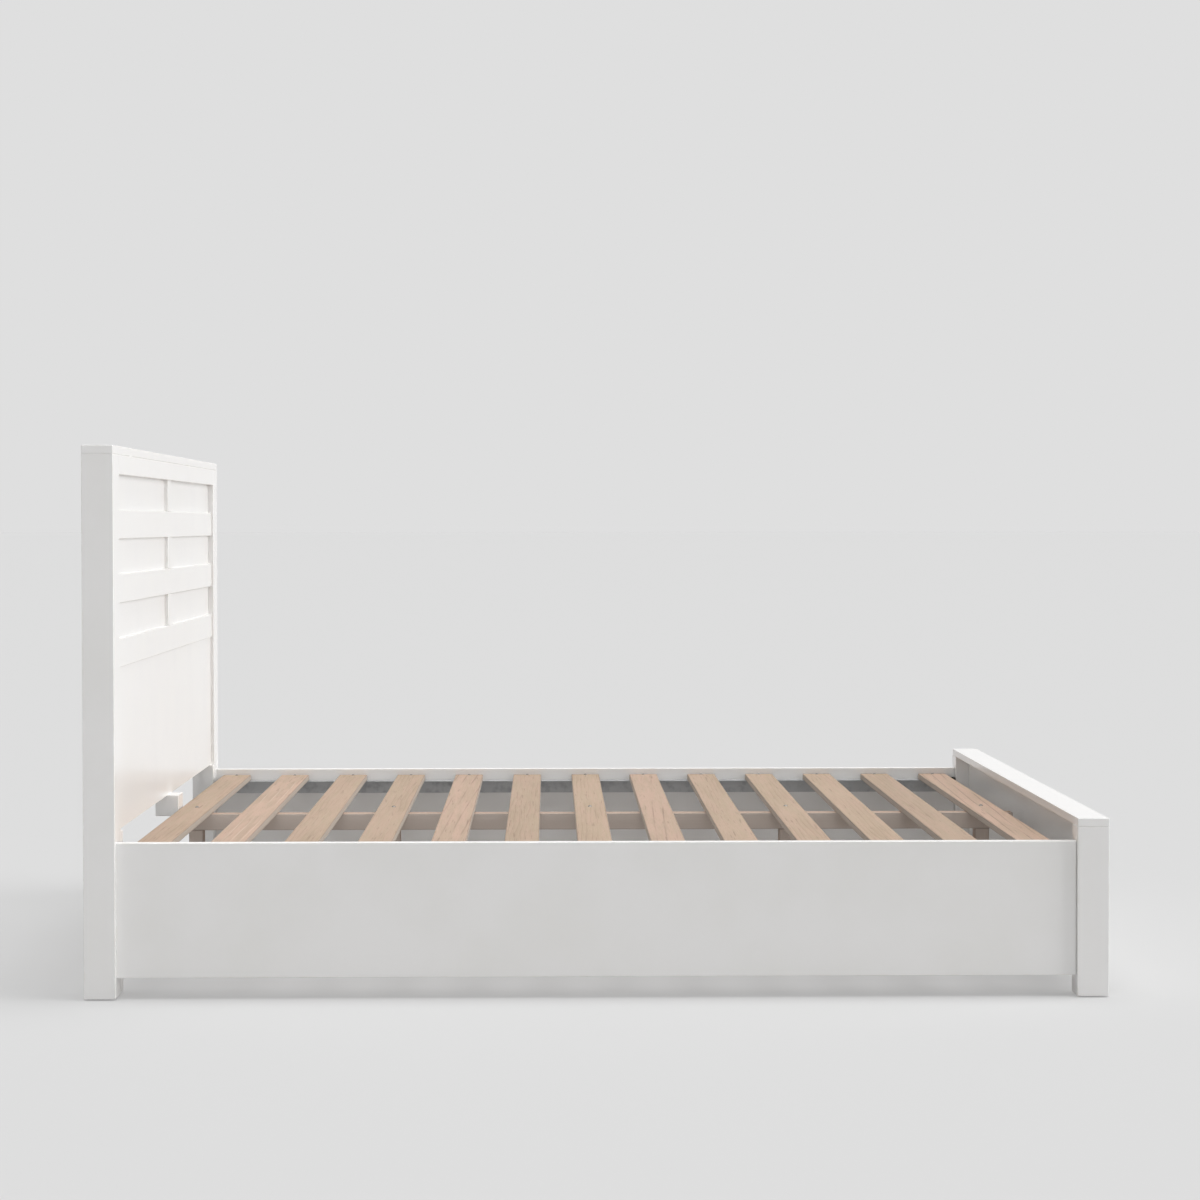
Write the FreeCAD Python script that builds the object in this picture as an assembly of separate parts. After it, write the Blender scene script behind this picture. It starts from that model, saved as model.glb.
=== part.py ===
"""White painted platform bed: panelled headboard, low footboard, deep side rails and a slatted deck.

The bed lies along X with its head towards -X, Y runs across it, and Z is up from the floor.
The origin is on the floor, below the middle of the bed. All sizes are in millimetres.
"""
import FreeCAD, Part
import os
from math import asin, cos, sin
from FreeCAD import Placement, Rotation, Vector

os.makedirs("parts", exist_ok=True)

# Mattress space
space_length = 2050.0  # from the head posts' faces to the foot posts' faces
space_width = 1840.0  # between the inner faces of the side rails

# Posts and caps
post_depth = 67.0  # along the bed, the same at both ends
head_post_width = 90.0
post_back_width = 30.0  # a head post has its full depth over this width at its outer side
head_height = 1180.0  # to the top of the headboard's cap
foot_rise = 50.0  # from the side rails' top to the top of the footboard's cap
cap_thickness = 18.0
arris = 1.5  # rounding on the painted edges

# Side rails
rail_bottom = 46.0  # clear height under the rails and the footboard's panel
rail_height = 288.0
rail_thickness = 25.0
rail_inset = 15.0  # the rail's outer face lies this far behind the posts' outer faces
rail_end_gap = 0.5  # at the foot posts; at the head posts the rails close the joint

# Slats and the steel angles that carry them
slat_count = 13
slat_width = 76.0
slat_thickness = 15.0
slat_drop = 16.0  # the slats' top below the rails' top
slat_head_gap = 20.0  # from the head posts' faces to the first slat
slat_foot_gap = 26.0  # from the last slat to the foot posts' faces
slat_end_gap = 3.0
slat_arris = 2.0
ledger_height = 35.0
ledger_width = 30.0
ledger_end_gap = 2.0  # between an angle's ends and the rail brackets
steel_arris = 0.6

# Centre beam and its legs
beam_width = 46.0
beam_height = 39.0
beam_end_gap = 26.0  # from the beam's foot end to the footboard's panel
leg_length = 34.0  # along the bed
slats_per_leg = 3  # a leg stands below every third slat

# Headboard's panelling
top_rail_height = 42.0
row_height = 76.5  # height of a recessed field
row_count = 3
cross_rail_height = 62.5
mullion_width = 68.0
strip_recess = 5.5  # front of the cross rails and mullions behind the posts' faces
strip_thickness = 8.5
panel_thickness = 12.0
field_recess = 9.0  # front of the lower board's raised field behind the posts' faces
panel_lift = 34.0  # the panel's bottom edge above the slats' top
batten_height = 60.0
batten_back_recess = 12.0  # back of the battens and of the posts' inner side in front of the posts' back
groove_depth = 8.0
groove_clearance = 0.2
inner_leg_width = 28.0
inner_leg_step = 5.0  # behind the panel the legs' inner side is set back this far
block_length = 56.0
block_width = 85.0
block_height = 51.0
block_slat_gap = 2.0

# Footboard's panel
foot_panel_thickness = 18.0
foot_panel_recess = 12.0  # its outer face behind the posts' outer faces

# Steel angles
steel_thickness = 3.0  # of all angles
bracket_post_leg = 26.0
bracket_post_margin = 2.0  # the foot posts reach this far past the brackets
bracket_rail_leg = 19.0
head_bracket_rise = -2.0  # the brackets' top above the slats' bottom, at the head and at the foot
foot_bracket_rise = 5.0
bracket_height = 50.0
beam_bracket_leg = 50.0
beam_bracket_width = 40.0

# Fasteners
bolt_diameter = 8.0
bolt_bite = 28.0  # length in the post
bolt_head_width = 13.0
bolt_head_height = 5.3
bolt_edge = 13.0  # from a bracket's ends to its bolts and screws
insert_diameter = 12.0
insert_length = 16.0
bracket_screw_diameter = 4.0
bracket_screw_bite = 14.0
bracket_screw_head = 8.0
screw_diameter = 4.5
screw_head = 9.0
beam_screw_diameter = 6.0
beam_screw_head = 11.0
dome_share = 0.3  # height of a domed head over its width
screw_tip = 4.0
screw_sink = 0.4  # the countersunk heads lie this far below the surface
drive_length = 4.8  # cross recess in the slat screws
drive_width = 1.1
drive_depth = 1.6
ledger_bite = 12.0  # length of the slat screws below the slats
leg_bite = 26.0
inner_leg_bite = 25.0
inner_leg_screw_inset = 90.0
panel_bite = 30.0
block_screw_spacing = 40.0
dowel_diameter = 8.0
dowel_in_cap = 12.0
dowel_in_wood = 24.0
dowel_spacing = 28.0
cap_dowel_pitch = 420.0
cap_dowel_count = 3
fit_clearance = 0.1  # round a dowel, screw or bolt in its hole
hole_spare = 0.5  # a blind hole is this much deeper than what it holds

# Floor glides
glide_diameter = 24.0
glide_height = 3.0
glide_pin_diameter = 3.0
glide_pin_length = 14.0

# Derived places along the bed
head_face = -space_length / 2
foot_face = space_length / 2
head_back = head_face - post_depth
foot_back = foot_face + post_depth
strip_front = head_face - strip_recess
panel_front = strip_front - strip_thickness
panel_back = panel_front - panel_thickness
field_front = head_face - field_recess
batten_back = head_back + batten_back_recess
first_slat_edge = head_face + slat_head_gap
last_slat_edge = foot_face - slat_foot_gap
slat_pitch = (last_slat_edge - first_slat_edge - slat_width) / (slat_count - 1)
slat_centres = [first_slat_edge + slat_width / 2 + k * slat_pitch for k in range(slat_count)]
leg_centres = slat_centres[::slats_per_leg]
foot_panel_outer = foot_back - foot_panel_recess
foot_panel_inner = foot_panel_outer - foot_panel_thickness

# Derived places across the bed, as distances from its middle
rail_inner = space_width / 2
rail_outer = rail_inner + rail_thickness
bed_side = rail_outer + rail_inset
head_post_inner = bed_side - head_post_width
foot_post_inner = rail_inner - bracket_post_leg - bracket_post_margin
ledger_middle = rail_inner - ledger_width / 2

# Derived heights
rail_top = rail_bottom + rail_height
slat_top = rail_top - slat_drop
slat_bottom = slat_top - slat_thickness
ledger_bottom = slat_bottom - ledger_height
beam_bottom = slat_bottom - beam_height
panel_bottom = slat_top + panel_lift
head_post_top = head_height - cap_thickness
foot_height = rail_top + foot_rise
foot_post_top = foot_height - cap_thickness
top_rail_bottom = head_post_top - top_rail_height
row_step = row_height + cross_rail_height
row_tops = [top_rail_bottom - k * row_step for k in range(row_count)]
field_top = top_rail_bottom - row_count * row_step
panel_joint = field_top + cross_rail_height / 2

SIDES = {"near": -1, "far": 1}
ROW_NAMES = ["upper", "middle", "lower"]
UP = Vector(0, 0, 1)
DOWN = Vector(0, 0, -1)


def span(a, b):
    """The two values in rising order."""
    return (min(a, b), max(a, b))


def board(x, y, z, radius=0.0, square=()):
    """A box over three ranges, its edges rounded except those on the sides named in square."""
    box = Part.makeBox(x[1] - x[0], y[1] - y[0], z[1] - z[0], Vector(x[0], y[0], z[0]))
    if not radius:
        return box
    sides = {"-x": ("x", x[0]), "+x": ("x", x[1]), "-y": ("y", y[0]), "+y": ("y", y[1]),
             "-z": ("z", z[0]), "+z": ("z", z[1])}
    flat = [sides[name] for name in square]
    edges = [edge for edge in box.Edges
             if not any(abs(getattr(edge.CenterOfMass, axis) - place) < 1e-6 for axis, place in flat)]
    return box.makeFillet(radius, edges)


def revolved(profile, origin, direction):
    """A solid of revolution from a closed profile in the XZ plane, its axis set along a direction."""
    solid = Part.Face(profile).revolve(Vector(0, 0, 0), UP, 360)
    solid.Placement = Placement(origin, Rotation(UP, direction))
    return solid


def turned(points, origin, direction):
    """A solid of revolution from (radius, height) points."""
    corners = [Vector(radius, 0, height) for radius, height in points]
    return revolved(Part.makePolygon(corners + corners[:1]), origin, direction)


def rod(diameter, length, origin, direction):
    """A plain round rod that starts at origin."""
    return Part.makeCylinder(diameter / 2, length, origin, direction)


def dowel(origin, direction, below, above):
    """A dowel across a joint at origin: below lies against the direction, above along it."""
    return rod(dowel_diameter, below + above, origin - direction * below, direction)


def dowel_hole(origin, direction, below, above):
    """The hole for that dowel, through both pieces."""
    start = origin - direction * (below + hole_spare)
    return rod(dowel_diameter + 2 * fit_clearance, below + above + 2 * hole_spare, start, direction)


def countersunk_hole(origin, direction, length, diameter, head, sink):
    """The hole for a screw whose head's rim lies at the depth sink, open at the surface."""
    shank = diameter / 2 + fit_clearance
    rim = head / 2 + fit_clearance
    cone = (head - diameter) / 2
    points = [(0, -hole_spare), (rim, -hole_spare), (rim, sink), (shank, sink + cone),
              (shank, length + hole_spare), (0, length + hole_spare)]
    return turned(points, origin, direction)


def wood_screw(origin, direction, length, diameter, head):
    """A countersunk screw driven along direction, its head just below the surface at origin."""
    shank = diameter / 2
    cone = (head - diameter) / 2
    points = [(0, screw_sink), (head / 2, screw_sink), (shank, screw_sink + cone),
              (shank, length - screw_tip), (0, length)]
    return turned(points, origin, direction)


def wood_screw_hole(origin, direction, length, diameter, head):
    """The countersunk hole for that screw."""
    return countersunk_hole(origin, direction, length, diameter, head, screw_sink)


def dome_screw(origin, direction, length, diameter, head, cone=0.0):
    """A screw driven along direction, its dome on the surface at origin and a cone of that depth below it."""
    height = head * dome_share
    ball = (head * head / 4 + height * height) / (2 * height)
    half_angle = asin(head / 2 / ball) / 2
    crown = Vector(0, 0, -height)
    shoulder = Vector(ball * sin(half_angle), 0, ball * (1 - cos(half_angle)) - height)
    rim = Vector(head / 2, 0, 0)
    below = [rim, Vector(diameter / 2, 0, cone), Vector(diameter / 2, 0, length - screw_tip),
             Vector(0, 0, length), crown]
    dome = Part.Arc(crown, shoulder, rim).toShape()
    return revolved(Part.Wire([dome] + Part.makePolygon(below).Edges), origin, direction)


def slat_screw(origin, direction, length, diameter, head):
    """An upright screw with a raised countersunk head and a cross recess in it."""
    screw = dome_screw(origin, direction, length, diameter, head, (head - diameter) / 2)
    top = origin.z + head * dome_share
    for along, across in ((drive_length, drive_width), (drive_width, drive_length)):
        x = (origin.x - along / 2, origin.x + along / 2)
        y = (origin.y - across / 2, origin.y + across / 2)
        screw = screw.cut(board(x, y, (top - drive_depth, top + hole_spare)))
    return screw


def slat_screw_hole(origin, direction, length, diameter, head):
    """The countersunk hole for that screw, whose rim lies at the surface."""
    return countersunk_hole(origin, direction, length, diameter, head, 0.0)


def cut_all(solid, tools):
    """The solid with every tool cut out of it."""
    return solid.cut(tools) if tools else solid


def slat_end_screws():
    """Place, direction and size of the screws through the slats' ends into the ledgers."""
    length = slat_thickness + ledger_bite
    return [(Vector(x, side * ledger_middle, slat_top), DOWN, length, screw_diameter, screw_head)
            for x in slat_centres for side in SIDES.values()]


def slat_beam_screws():
    """Place, direction and size of the screws through slat and beam into the legs."""
    length = slat_thickness + beam_height + leg_bite
    return [(Vector(x, 0, slat_top), DOWN, length, beam_screw_diameter, beam_screw_head) for x in leg_centres]


def ledger_screws(side):
    """Seats of the screws through a ledger's upright leg into its rail, below every second slat."""
    height = slat_bottom - (steel_thickness + ledger_height) / 2
    return [Vector(x, side * (rail_inner - steel_thickness), height) for x in slat_centres[::2]]


def inner_leg_screws(side):
    """Place, direction and size of the screws through an inner leg into its post."""
    length = inner_leg_width + inner_leg_bite
    heights = (glide_height + inner_leg_screw_inset, panel_bottom - inner_leg_screw_inset)
    x = (panel_back + head_face) / 2
    return [(Vector(x, side * (head_post_inner - inner_leg_width), height), Vector(0, side, 0),
             length, screw_diameter, screw_head) for height in heights]


def block_screws():
    """Place, direction and size of the screws up through the middle block into the panel's edge."""
    length = block_height + panel_bite
    x = (panel_back + field_front) / 2
    return [(Vector(x, y, panel_bottom - block_height), UP, length, screw_diameter, screw_head)
            for y in (-block_screw_spacing / 2, block_screw_spacing / 2)]


def head_cap_dowels():
    """Joint points of the dowels between the headboard's cap, its posts and its upper batten."""
    post_x = (head_back + head_face) / 2
    points = [Vector(post_x + shift, side * (bed_side - head_post_width / 2), head_post_top)
              for side in SIDES.values() for shift in (-dowel_spacing / 2, dowel_spacing / 2)]
    batten_x = (batten_back + panel_back) / 2
    return points + [Vector(batten_x, y, head_post_top) for y in cap_dowel_places()]


def foot_cap_dowels():
    """Joint points of the dowels between the footboard's cap, its posts and its panel."""
    post_x = (foot_face + foot_back) / 2
    post_y = (foot_post_inner + bed_side) / 2
    points = [Vector(post_x + shift, side * post_y, foot_post_top)
              for side in SIDES.values() for shift in (-dowel_spacing / 2, dowel_spacing / 2)]
    panel_x = (foot_panel_inner + foot_panel_outer) / 2
    return points + [Vector(panel_x, y, foot_post_top) for y in cap_dowel_places()]


def cap_dowel_places():
    """Places across the bed of the dowels between the posts."""
    first = -cap_dowel_pitch * (cap_dowel_count - 1) / 2
    return [first + k * cap_dowel_pitch for k in range(cap_dowel_count)]


def batten_heights():
    """Lower end of each batten behind the headboard's panel."""
    return {"top": head_post_top - batten_height, "bottom": panel_bottom}


def batten_dowels(side):
    """Joint points of the dowels between the battens' ends and one head post."""
    x = (batten_back + panel_back) / 2
    return [Vector(x, side * head_post_inner, low + batten_height / 2 + shift)
            for low in batten_heights().values() for shift in (-dowel_spacing / 2, dowel_spacing / 2)]


def bracket_span(inward):
    """Lower and upper end of a rail bracket, at the head where inward is 1 and at the foot where it is -1."""
    top = slat_bottom + (head_bracket_rise if inward > 0 else foot_bracket_rise)
    return (top - bracket_height, top)


def bracket_heights(inward):
    """Heights of the bolts and screws in a rail bracket."""
    low, high = bracket_span(inward)
    return (low + bolt_edge, high - bolt_edge)


def bracket_bolts(face, inward, side):
    """Seats of the bolts through a bracket's post leg, on the leg's free face."""
    y = side * (rail_inner - (steel_thickness + bracket_post_leg) / 2)
    return [Vector(face + inward * steel_thickness, y, height) for height in bracket_heights(inward)]


def bracket_rail_screws(face, inward, side):
    """Seats of the screws through a bracket's rail leg, on the leg's free face."""
    x = face + inward * (steel_thickness + bracket_rail_leg) / 2
    return [Vector(x, side * (rail_inner - steel_thickness), height) for height in bracket_heights(inward)]


def bolt_hole(seat, direction):
    """The clearance hole for a bolt, from its seat to past its tip."""
    length = steel_thickness + bolt_bite + hole_spare
    return rod(bolt_diameter + 2 * fit_clearance, length, seat, direction)


def insert_hole(seat, direction):
    """The seat of a threaded insert in the post's face."""
    start = seat + direction * steel_thickness
    return rod(insert_diameter + 2 * fit_clearance, insert_length + fit_clearance, start, direction)


def bracket_screw_hole(seat, direction):
    """The hole for a domed screw on a steel angle, from its seat to past its tip."""
    length = steel_thickness + bracket_screw_bite + hole_spare
    return rod(bracket_screw_diameter + 2 * fit_clearance, length, seat, direction)


def hex_bolt(seat, direction):
    """A hexagon-headed bolt whose head bears on its seat."""
    radius = bolt_head_width / 3 ** 0.5
    corners = [Rotation(UP, 60 * k).multVec(Vector(radius, 0, 0)) for k in range(6)]
    head = Part.Face(Part.makePolygon(corners + corners[:1])).extrude(Vector(0, 0, -bolt_head_height))
    bolt = head.fuse(Part.makeCylinder(bolt_diameter / 2, steel_thickness + bolt_bite)).removeSplitter()
    bolt.Placement = Placement(seat, Rotation(UP, direction))
    return bolt


def threaded_insert(seat, direction):
    """A sleeve set flush in the post's face, round the bolt."""
    start = seat + direction * steel_thickness
    sleeve = rod(insert_diameter, insert_length, start, direction)
    return sleeve.cut(rod(bolt_diameter + 2 * fit_clearance, insert_length, start, direction))


def bracket_screw(seat, direction):
    """A domed screw whose head bears on its seat, on a steel angle."""
    length = steel_thickness + bracket_screw_bite
    return dome_screw(seat, direction, length, bracket_screw_diameter, bracket_screw_head)


def glide_places():
    """Places of the floor glides: posts, inner legs and centre legs."""
    head_post_y = bed_side - head_post_width / 2
    foot_post_y = (foot_post_inner + bed_side) / 2
    inner_leg_y = head_post_inner - (inner_leg_width - inner_leg_step) / 2
    places = [Vector(x, 0, glide_height) for x in leg_centres]
    for side in SIDES.values():
        places.append(Vector((head_back + head_face) / 2, side * head_post_y, glide_height))
        places.append(Vector((foot_face + foot_back) / 2, side * foot_post_y, glide_height))
        places.append(Vector((batten_back + head_face) / 2, side * inner_leg_y, glide_height))
    return places


def glide_pin_holes():
    """Holes for the glides' pins, up into the wood."""
    return [rod(glide_pin_diameter + 2 * fit_clearance, glide_pin_length + hole_spare, place, UP)
            for place in glide_places()]


def floor_glide(place):
    """A round glide with a pin that is driven up into the wood."""
    disc = rod(glide_diameter, glide_height, place - UP * glide_height, UP)
    return disc.fuse(rod(glide_pin_diameter, glide_pin_length, place, UP)).removeSplitter()


def head_post(side):
    """A head post, stepped at its back, with its groove for the panel and the holes of its fasteners."""
    y = span(side * head_post_inner, side * bed_side)
    post = board((head_back, head_face), y, (glide_height, head_post_top), arris)
    groove_y = span(side * (head_post_inner + groove_depth), side * (head_post_inner - arris))
    groove_x = (panel_back - groove_clearance, panel_front + groove_clearance)
    tools = [board(groove_x, groove_y, (panel_bottom - groove_clearance, head_post_top + arris))]
    step_y = span(side * (head_post_inner - arris), side * (bed_side - post_back_width))
    step_z = (glide_height - arris, head_post_top + arris)
    tools.append(board((head_back - arris, batten_back), step_y, step_z))
    tools += [wood_screw_hole(*screw) for screw in inner_leg_screws(side)]
    tools += [dowel_hole(p, UP, dowel_in_wood, dowel_in_cap) for p in head_cap_dowels()]
    tools += [dowel_hole(p, Vector(0, side, 0), dowel_in_wood, dowel_in_wood) for p in batten_dowels(side)]
    seats = bracket_bolts(head_face, 1, side)
    tools += [bolt_hole(seat, Vector(-1, 0, 0)) for seat in seats]
    tools += [insert_hole(seat, Vector(-1, 0, 0)) for seat in seats]
    return cut_all(post, tools + glide_pin_holes())


def head_inner_leg(side):
    """The short leg against the inside of a head post, under the panel, stepped on its inner side."""
    inner = head_post_inner - inner_leg_width
    leg = board((batten_back, head_face), span(side * inner, side * head_post_inner),
                (glide_height, panel_bottom), arris)
    step_y = span(side * (inner - arris), side * (inner + inner_leg_step))
    tools = [board((batten_back - arris, panel_back), step_y, (glide_height - arris, panel_bottom + arris))]
    tools += [wood_screw_hole(*screw) for screw in inner_leg_screws(side)]
    return cut_all(leg, tools + glide_pin_holes())


def head_cap():
    """The cap board over the headboard."""
    cap = board((head_back, head_face), (-bed_side, bed_side), (head_post_top, head_height), arris)
    return cut_all(cap, [dowel_hole(p, UP, dowel_in_wood, dowel_in_cap) for p in head_cap_dowels()])


def head_strip(front, low, high):
    """A rail across the headboard's front, between the posts."""
    return board((panel_front, front), (-head_post_inner, head_post_inner), (low, high), arris,
                 ("-x", "-y", "+y"))


def head_mullion(low, high):
    """The upright in the middle of a row of recessed fields."""
    return board((panel_front, strip_front), (-mullion_width / 2, mullion_width / 2), (low, high), arris,
                 ("-x", "-z", "+z"))


def panel_half_width():
    """Half the width of the panels, with their edges in the posts' grooves."""
    return head_post_inner + groove_depth - groove_clearance


def head_upper_panel():
    """The sheet behind the recessed fields."""
    half = panel_half_width()
    return board((panel_back, panel_front), (-half, half), (panel_joint, head_post_top))


def head_lower_panel():
    """The lower board, with a raised field between the posts."""
    half = panel_half_width()
    sheet = board((panel_back, panel_front), (-half, half), (panel_bottom, panel_joint))
    field = board((panel_front, field_front), (-head_post_inner, head_post_inner), (panel_bottom, field_top))
    panel = sheet.fuse(field).removeSplitter()
    return cut_all(panel, [wood_screw_hole(*screw) for screw in block_screws()])


def head_batten(low):
    """A batten behind the headboard's panel."""
    batten = board((batten_back, panel_back), (-head_post_inner, head_post_inner), (low, low + batten_height),
                   arris, ("-y", "+y", "+x"))
    tools = [dowel_hole(p, UP, dowel_in_wood, dowel_in_cap) for p in head_cap_dowels()]
    for side in SIDES.values():
        outward = Vector(0, side, 0)
        tools += [dowel_hole(p, outward, dowel_in_wood, dowel_in_wood) for p in batten_dowels(side)]
    return cut_all(batten, tools)


def head_centre_block():
    """The block under the middle of the headboard's panel, in front of which the first slat lies."""
    front = first_slat_edge - block_slat_gap
    block = board((front - block_length, front), (-block_width / 2, block_width / 2),
                  (panel_bottom - block_height, panel_bottom), arris)
    return cut_all(block, [wood_screw_hole(*screw) for screw in block_screws()])


def foot_post(side):
    """A foot post with its groove for the panel and the holes of its fasteners."""
    y = span(side * foot_post_inner, side * bed_side)
    post = board((foot_face, foot_back), y, (glide_height, foot_post_top), arris)
    groove_y = span(side * (foot_post_inner + groove_depth), side * (foot_post_inner - arris))
    groove_x = (foot_panel_inner - groove_clearance, foot_panel_outer + groove_clearance)
    tools = [board(groove_x, groove_y, (rail_bottom - groove_clearance, foot_post_top + arris))]
    tools += [dowel_hole(p, UP, dowel_in_wood, dowel_in_cap) for p in foot_cap_dowels()]
    seats = bracket_bolts(foot_face, -1, side)
    tools += [bolt_hole(seat, Vector(1, 0, 0)) for seat in seats]
    tools += [insert_hole(seat, Vector(1, 0, 0)) for seat in seats]
    return cut_all(post, tools + glide_pin_holes())


def foot_cap():
    """The cap board over the footboard."""
    cap = board((foot_face, foot_back), (-bed_side, bed_side), (foot_post_top, foot_height), arris)
    return cut_all(cap, [dowel_hole(p, UP, dowel_in_wood, dowel_in_cap) for p in foot_cap_dowels()])


def foot_panel():
    """The footboard's panel, its edges in the posts' grooves."""
    half = foot_post_inner + groove_depth - groove_clearance
    panel = board((foot_panel_inner, foot_panel_outer), (-half, half), (rail_bottom, foot_post_top))
    tools = [dowel_hole(p, UP, dowel_in_wood, dowel_in_cap) for p in foot_cap_dowels()]
    tools += [bracket_screw_hole(seat, way) for seat, way in beam_bracket_screws()]
    return cut_all(panel, tools)


def side_rail(side):
    """A deep side rail between the posts."""
    rail = board((head_face, foot_face - rail_end_gap),
                 span(side * rail_inner, side * rail_outer), (rail_bottom, rail_top), arris, ("-x",))
    seats = ledger_screws(side)
    for face, inward in ((head_face, 1), (foot_face, -1)):
        seats += bracket_rail_screws(face, inward, side)
    return cut_all(rail, [bracket_screw_hole(seat, Vector(0, side, 0)) for seat in seats])


def slat_ledger(side):
    """The steel angle on a rail's inner face that carries the slats' ends."""
    end = foot_face - bracket_rail_leg - ledger_end_gap
    x = (-end, end)
    shelf = board(x, span(side * (rail_inner - ledger_width), side * rail_inner),
                  (slat_bottom - steel_thickness, slat_bottom), steel_arris, ("+y",) if side > 0 else ("-y",))
    upright = board(x, span(side * (rail_inner - steel_thickness), side * rail_inner),
                    (ledger_bottom, slat_bottom))
    tools = [bracket_screw_hole(seat, Vector(0, side, 0)) for seat in ledger_screws(side)]
    tools += [slat_screw_hole(*screw) for screw in slat_end_screws()]
    return cut_all(shelf.fuse(upright).removeSplitter(), tools)


def slat(centre):
    """One slat across the bed."""
    half = rail_inner - slat_end_gap
    plank = board((centre - slat_width / 2, centre + slat_width / 2), (-half, half), (slat_bottom, slat_top),
                  slat_arris)
    screws = [screw for screw in slat_end_screws() + slat_beam_screws()
              if abs(screw[0].x - centre) < slat_width / 2]
    return cut_all(plank, [slat_screw_hole(*screw) for screw in screws])


def centre_beam():
    """The beam under the middle of the slats, which ends just short of the footboard's panel."""
    beam = board((first_slat_edge, foot_panel_inner - beam_end_gap), (-beam_width / 2, beam_width / 2),
                 (beam_bottom, slat_bottom), arris)
    tools = [slat_screw_hole(*screw) for screw in slat_beam_screws()]
    return cut_all(beam, tools + [bracket_screw_hole(seat, way) for seat, way in beam_bracket_screws()])


def centre_leg(centre):
    """A leg of the centre beam."""
    leg = board((centre - leg_length / 2, centre + leg_length / 2), (-beam_width / 2, beam_width / 2),
                (glide_height, beam_bottom), arris)
    return cut_all(leg, [slat_screw_hole(*screw) for screw in slat_beam_screws()] + glide_pin_holes())


def rail_bracket(face, inward, side):
    """A steel angle in the corner between a rail and a post."""
    height = bracket_span(inward)
    rail_leg = board(span(face, face + inward * bracket_rail_leg),
                     span(side * (rail_inner - steel_thickness), side * rail_inner), height)
    post_leg = board(span(face, face + inward * steel_thickness),
                     span(side * (rail_inner - bracket_post_leg), side * rail_inner), height)
    bracket = rail_leg.fuse(post_leg).removeSplitter()
    into_post = Vector(-inward, 0, 0)
    into_rail = Vector(0, side, 0)
    tools = [bolt_hole(seat, into_post) for seat in bracket_bolts(face, inward, side)]
    tools += [bracket_screw_hole(seat, into_rail) for seat in bracket_rail_screws(face, inward, side)]
    return cut_all(bracket, tools)


def beam_bracket():
    """A steel angle under the beam's foot end, on the footboard's panel."""
    y = (-beam_bracket_width / 2, beam_bracket_width / 2)
    shelf = board((foot_panel_inner - beam_bracket_leg, foot_panel_inner), y,
                  (beam_bottom - steel_thickness, beam_bottom))
    plate = board((foot_panel_inner - steel_thickness, foot_panel_inner), y,
                  (beam_bottom - beam_bracket_leg, beam_bottom))
    angle = shelf.fuse(plate).removeSplitter()
    return cut_all(angle, [bracket_screw_hole(seat, way) for seat, way in beam_bracket_screws()])


def beam_bracket_screws():
    """Seats and directions of the beam bracket's screws, up into the beam and into the panel."""
    below_beam = foot_panel_inner - (beam_end_gap + beam_bracket_leg) / 2
    on_panel = beam_bottom - (steel_thickness + beam_bracket_leg) / 2
    places = (-beam_bracket_width / 4, beam_bracket_width / 4)
    seats = [(Vector(below_beam, y, beam_bottom - steel_thickness), UP) for y in places]
    wall = [(Vector(foot_panel_inner - steel_thickness, y, on_panel), Vector(1, 0, 0)) for y in places]
    return seats + wall


def corners():
    """Name, post face, inward direction and side of the bed's four corners."""
    return [(f"{end}_{name}", face, inward, side)
            for end, face, inward in (("head", head_face, 1), ("foot", foot_face, -1))
            for name, side in SIDES.items()]


def painted_parts():
    """The white painted pieces by name."""
    parts = {"head_cap": head_cap(), "foot_cap": foot_cap(), "foot_panel": foot_panel(),
             "head_upper_panel": head_upper_panel(), "head_lower_panel": head_lower_panel(),
             "head_centre_block": head_centre_block(),
             "head_top_rail": head_strip(head_face, top_rail_bottom, head_post_top)}
    for name, side in SIDES.items():
        parts[f"head_post_{name}"] = head_post(side)
        parts[f"head_inner_leg_{name}"] = head_inner_leg(side)
        parts[f"foot_post_{name}"] = foot_post(side)
        parts[f"side_rail_{name}"] = side_rail(side)
    for name, top in zip(ROW_NAMES, row_tops):
        low = top - row_height
        parts[f"head_mullion_{name}"] = head_mullion(low, top)
        parts[f"head_rail_{name}"] = head_strip(strip_front, low - cross_rail_height, low)
    for name, low in batten_heights().items():
        parts[f"head_batten_{name}"] = head_batten(low)
    return parts


def deck_parts():
    """The slats, the centre beam and its legs by name."""
    parts = {f"slat_{k:02d}": slat(centre) for k, centre in enumerate(slat_centres, 1)}
    parts["centre_beam"] = centre_beam()
    for k, centre in enumerate(leg_centres, 1):
        parts[f"centre_leg_{k}"] = centre_leg(centre)
    return parts


def steel_parts():
    """The ledgers and brackets by name, with their bolts, inserts and screws in groups."""
    parts = {f"slat_ledger_{name}": slat_ledger(side) for name, side in SIDES.items()}
    parts["beam_bracket"] = beam_bracket()
    bolts = []
    inserts = []
    screws = [bracket_screw(seat, way) for seat, way in beam_bracket_screws()]
    for name, face, inward, side in corners():
        into_post = Vector(-inward, 0, 0)
        into_rail = Vector(0, side, 0)
        parts[f"rail_bracket_{name}"] = rail_bracket(face, inward, side)
        bolts += [hex_bolt(seat, into_post) for seat in bracket_bolts(face, inward, side)]
        inserts += [threaded_insert(seat, into_post) for seat in bracket_bolts(face, inward, side)]
        screws += [bracket_screw(seat, into_rail) for seat in bracket_rail_screws(face, inward, side)]
    groups = {"rail_bracket_bolts": bolts, "post_inserts": inserts, "bracket_screws": screws}
    return parts, groups


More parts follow.
